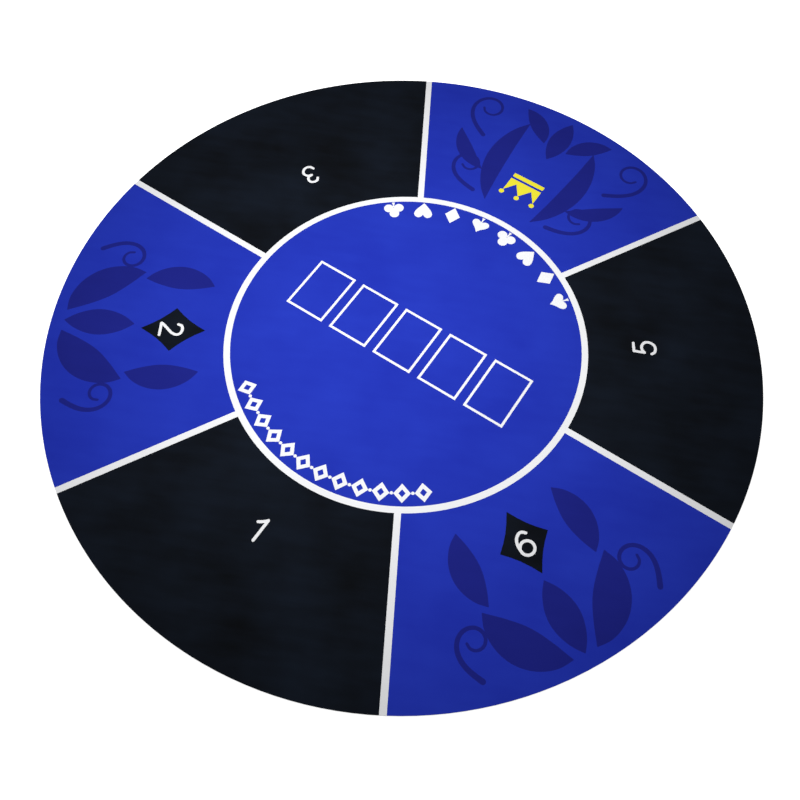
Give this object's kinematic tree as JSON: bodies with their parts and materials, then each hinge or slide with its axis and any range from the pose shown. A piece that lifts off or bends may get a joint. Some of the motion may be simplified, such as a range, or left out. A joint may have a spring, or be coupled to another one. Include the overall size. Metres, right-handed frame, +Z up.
{
  "type": "folding poker table top",
  "caption": "Round soft card-table mat of printed cloth on foamed rubber, with wedge seats, a ring and card boxes, that folds face in at its flaps and middle.",
  "frame": {"origin": "middle of the underside, on the table that the mat lies on", "axes": "+Z up out of the printed face, +Y towards the dealer's seat with the crown, +X to the right as the dealer's seat is seen from the middle, along the folds"},
  "size_m": [1.2, 1.1998, 0.003],
  "materials": {
    "rubber_backing": "matte foamed rubber with a fine embossed non-slip pattern, cut clean at the edge",
    "printed_cloth": "short suede nap, royal blue print",
    "black_print": "short suede nap, black print",
    "white_print": "short suede nap, left white",
    "navy_print": "short suede nap, darker blue print",
    "yellow_print": "short suede nap, yellow print"
  },
  "bodies": {
    "front_panel": {"front_panel_rubber": "rubber_backing", "front_panel_cloth": "printed_cloth"},
    "front_flap": {"front_flap_rubber": "rubber_backing", "front_flap_cloth": "printed_cloth"},
    "front_bend_1": {"front_bend_1_rubber": "rubber_backing", "front_bend_1_cloth": "printed_cloth"},
    "front_bend_2": {"front_bend_2_rubber": "rubber_backing", "front_bend_2_cloth": "printed_cloth"},
    "centre_bend_1": {"centre_bend_1_rubber": "rubber_backing", "centre_bend_1_cloth": "printed_cloth"},
    "centre_bend_2": {"centre_bend_2_rubber": "rubber_backing", "centre_bend_2_cloth": "printed_cloth"},
    "centre_bend_3": {"centre_bend_3_rubber": "rubber_backing", "centre_bend_3_cloth": "printed_cloth"},
    "centre_bend_4": {"centre_bend_4_rubber": "rubber_backing", "centre_bend_4_cloth": "printed_cloth"},
    "back_panel": {"back_panel_rubber": "rubber_backing", "back_panel_cloth": "printed_cloth"},
    "back_bend_1": {"back_bend_1_rubber": "rubber_backing", "back_bend_1_cloth": "printed_cloth"},
    "back_bend_2": {"back_bend_2_rubber": "rubber_backing", "back_bend_2_cloth": "printed_cloth"},
    "back_flap": {"back_flap_rubber": "rubber_backing", "back_flap_cloth": "printed_cloth"}
  },
  "joints": [
    {"name": "front_fold", "type": "hinge", "parent": "front_panel", "child": "front_flap", "pos_m": [0, -0.33001, 0.00575], "axis": [-1, 0, 0], "range_deg": [0, 179.94]},
    {"name": "front_fold_panel_bend", "type": "hinge", "parent": "front_panel", "child": "front_bend_2", "pos_m": [0, -0.32684, 0.003], "axis": [-1, 0, 0], "range_deg": [0, 59.98]},
    {"name": "front_fold_flap_bend", "type": "hinge", "parent": "front_flap", "child": "front_bend_1", "pos_m": [0, -0.33319, 0.003], "axis": [1, 0, 0], "range_deg": [0, 59.98]},
    {"name": "centre_fold", "type": "hinge", "parent": "front_panel", "child": "back_panel", "pos_m": [0, 0, 0.01225], "axis": [1, 0, 0], "range_deg": [0, 179.94]},
    {"name": "centre_fold_front_bend", "type": "hinge", "parent": "front_panel", "child": "centre_bend_1", "pos_m": [0, -0.01202, 0.003], "axis": [1, 0, 0], "range_deg": [0, 35.99]},
    {"name": "centre_fold_front_middle_bend", "type": "hinge", "parent": "centre_bend_1", "child": "centre_bend_2", "pos_m": [0, -0.00601, 0.003], "axis": [1, 0, 0], "range_deg": [0, 35.99]},
    {"name": "centre_fold_back_middle_bend", "type": "hinge", "parent": "centre_bend_4", "child": "centre_bend_3", "pos_m": [0, 0.00601, 0.003], "axis": [-1, 0, 0], "range_deg": [0, 35.99]},
    {"name": "centre_fold_back_bend", "type": "hinge", "parent": "back_panel", "child": "centre_bend_4", "pos_m": [0, 0.01202, 0.003], "axis": [-1, 0, 0], "range_deg": [0, 35.99]},
    {"name": "back_fold", "type": "hinge", "parent": "back_panel", "child": "back_flap", "pos_m": [0, 0.33001, 0.00575], "axis": [1, 0, 0], "range_deg": [0, 179.94]},
    {"name": "back_fold_panel_bend", "type": "hinge", "parent": "back_panel", "child": "back_bend_1", "pos_m": [0, 0.32684, 0.003], "axis": [1, 0, 0], "range_deg": [0, 59.98]},
    {"name": "back_fold_flap_bend", "type": "hinge", "parent": "back_flap", "child": "back_bend_2", "pos_m": [0, 0.33319, 0.003], "axis": [-1, 0, 0], "range_deg": [0, 59.98]}
  ],
  "couplings": [
    {"joint": "front_fold_panel_bend", "follows": "front_fold", "ratio": 0.33333},
    {"joint": "front_fold_flap_bend", "follows": "front_fold", "ratio": 0.33333},
    {"joint": "centre_fold_front_bend", "follows": "centre_fold", "ratio": 0.2},
    {"joint": "centre_fold_front_middle_bend", "follows": "centre_fold", "ratio": 0.2},
    {"joint": "centre_fold_back_middle_bend", "follows": "centre_fold", "ratio": 0.2},
    {"joint": "centre_fold_back_bend", "follows": "centre_fold", "ratio": 0.2},
    {"joint": "back_fold_panel_bend", "follows": "back_fold", "ratio": 0.33333},
    {"joint": "back_fold_flap_bend", "follows": "back_fold", "ratio": 0.33333}
  ]
}
